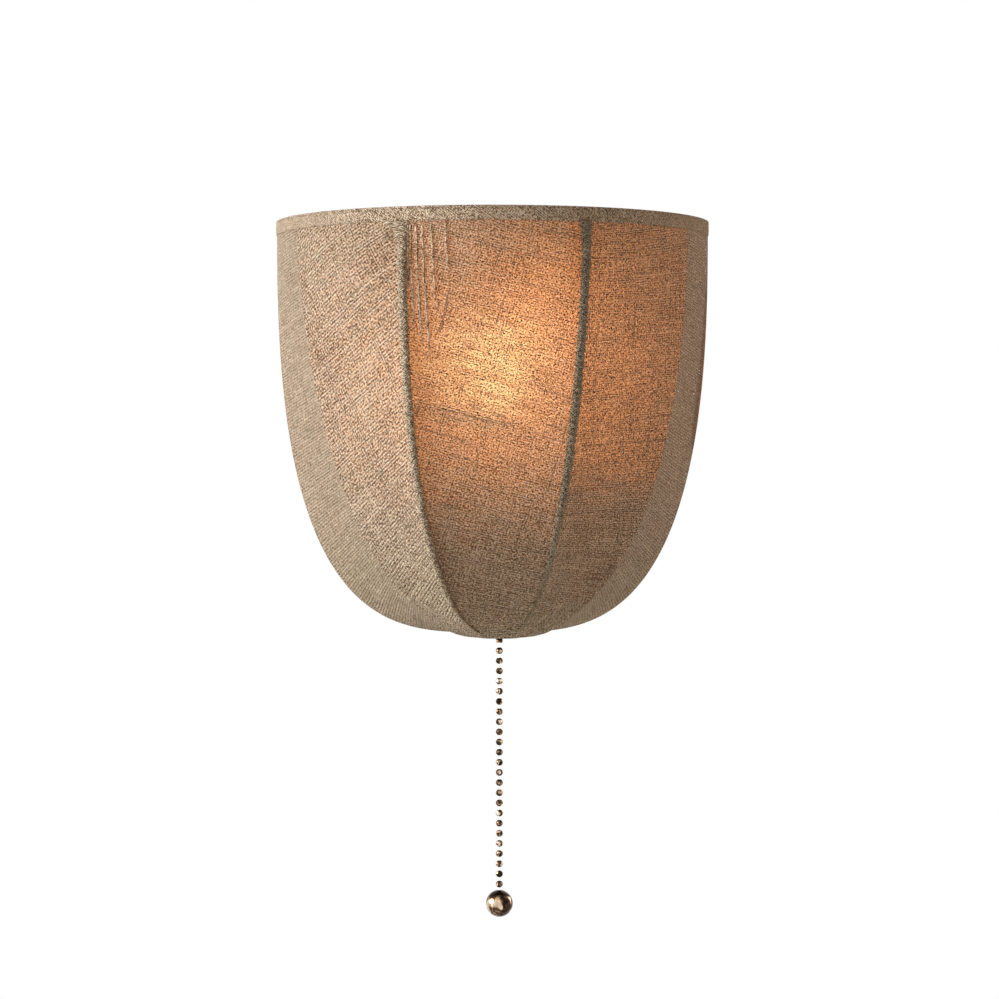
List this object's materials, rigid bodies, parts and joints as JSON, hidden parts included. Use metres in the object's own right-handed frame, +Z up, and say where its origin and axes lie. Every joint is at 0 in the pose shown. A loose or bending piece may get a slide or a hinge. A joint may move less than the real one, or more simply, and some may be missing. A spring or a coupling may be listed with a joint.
{
  "type": "fabric shade wall light",
  "caption": "Wall light with a ribbed linen half shade on a wire frame, a small round lamp inside and a pull switch worked by a hanging ball chain.",
  "frame": {"origin": "on the wall, at the centre of the mounting plate's back face", "axes": "+X to the right as one faces the light, +Z up, -Y out from the wall into the room"},
  "size_m": [0.2012, 0.1108, 0.3168],
  "materials": {
    "linen": "coarse natural linen, plain weave with slubs, matt",
    "hem_fabric": "folded and stitched natural linen, matt",
    "frame_wire": "white coated steel wire",
    "cover_paint": "off-white powder coat, satin",
    "zinc_steel": "bright zinc-plated steel",
    "nickel": "bright nickel plate",
    "chain_metal": "bright nickel-bronze plate",
    "ball_bronze": "polished champagne bronze",
    "aged_brass": "satin aged brass",
    "brass": "plain brass strip",
    "white_plastic": "moulded, matt",
    "black_plastic": "moulded thermoset, low gloss",
    "porcelain": "unglazed white steatite",
    "live_sleeve": "wire insulation, brown",
    "neutral_sleeve": "wire insulation, blue",
    "earth_sleeve": "wire insulation, green with a yellow stripe",
    "lamp_glass": "clear lamp glass",
    "opal_glass": "frosted lamp glass, lit",
    "filament": "phosphor-coated light-emitting rod, lit"
  },
  "bodies": {
    "root": {"mounting_plate": "zinc_steel", "wall_cover": "cover_paint", "cover_screws": "nickel", "shade_hooks": "zinc_steel", "terminal_block": "white_plastic", "terminal_inserts": "brass", "terminal_screws": "zinc_steel", "arm_tube": "aged_brass", "thread_nuts": "zinc_steel", "switch_housing": "aged_brass", "housing_cover": "aged_brass", "housing_screws": "nickel", "switch_body": "black_plastic", "switch_lid": "black_plastic", "switch_contacts": "brass", "lever_pin": "zinc_steel", "switch_bell": "aged_brass", "nipple": "zinc_steel", "holder_cap": "black_plastic", "holder_skirt": "black_plastic", "holder_insert": "porcelain", "thread_shell": "brass", "centre_contact": "brass", "live_wire": "live_sleeve", "neutral_wire": "neutral_sleeve", "switched_wire": "live_sleeve", "earth_wire": "earth_sleeve"},
    "lever": {"switch_lever": "nickel"},
    "pull": {"pull_stem": "nickel", "return_spring": "zinc_steel", "chain_coupling": "chain_metal", "guide_bead": "chain_metal"},
    "chain_link": {"swivel_bead": "chain_metal"},
    "hanging_chain": {"chain_beads": "chain_metal", "chain_links": "chain_metal", "pull_ball": "ball_bronze"},
    "bulb": {"bulb_glass": "opal_glass", "bulb_cap": "nickel", "bulb_tip": "black_plastic", "bulb_stem": "lamp_glass", "bulb_filaments": "filament"},
    "shade": {"top_ring": "frame_wire", "top_bar": "frame_wire", "rear_hoop": "frame_wire", "hanger_bar": "frame_wire", "bottom_stay": "frame_wire", "hub_ring": "frame_wire", "eyelet": "aged_brass", "top_hem": "hem_fabric", "rear_binding": "hem_fabric", "panel_side_left": "linen", "panel_left": "linen", "panel_centre": "linen", "panel_right": "linen", "panel_side_right": "linen", "rib_far_left": "frame_wire", "rib_near_left": "frame_wire", "rib_near_right": "frame_wire", "rib_far_right": "frame_wire", "rib_piping": "hem_fabric"}
  },
  "joints": [
    {"name": "chain_pull", "type": "slide", "parent": "root", "child": "pull", "axis": [0, 0, -1], "range_m": [0, 0.0068], "stiffness_N_per_m": 500, "springref_m": -0.004, "deforming": ["return_spring"]},
    {"name": "lever_turn", "type": "hinge", "parent": "root", "child": "lever", "pos_m": [-0.0038, -0.05, -0.02217], "axis": [0, 1, 0], "range_deg": [0, 52.5]},
    {"name": "chain_swing", "type": "hinge", "parent": "pull", "child": "chain_link", "pos_m": [0.0032, -0.05, -0.05252], "axis": [1, 0, 0], "range_deg": [-20, 20]},
    {"name": "chain_sway", "type": "hinge", "parent": "chain_link", "child": "hanging_chain", "pos_m": [0.0032, -0.05, -0.0571], "axis": [0, 1, 0], "range_deg": [-20, 20]},
    {"name": "bulb_turn", "type": "hinge", "parent": "root", "child": "bulb", "pos_m": [0, -0.05, 0.04], "axis": [0, 0, 1], "range_deg": [0, 1440]},
    {"name": "shade_lift", "type": "slide", "parent": "root", "child": "shade", "axis": [0, 0, 1], "range_m": [0, 0.008]}
  ],
  "couplings": [
    {"joint": "lever_turn", "follows": "chain_pull", "rad_per_m": 132.91}
  ]
}
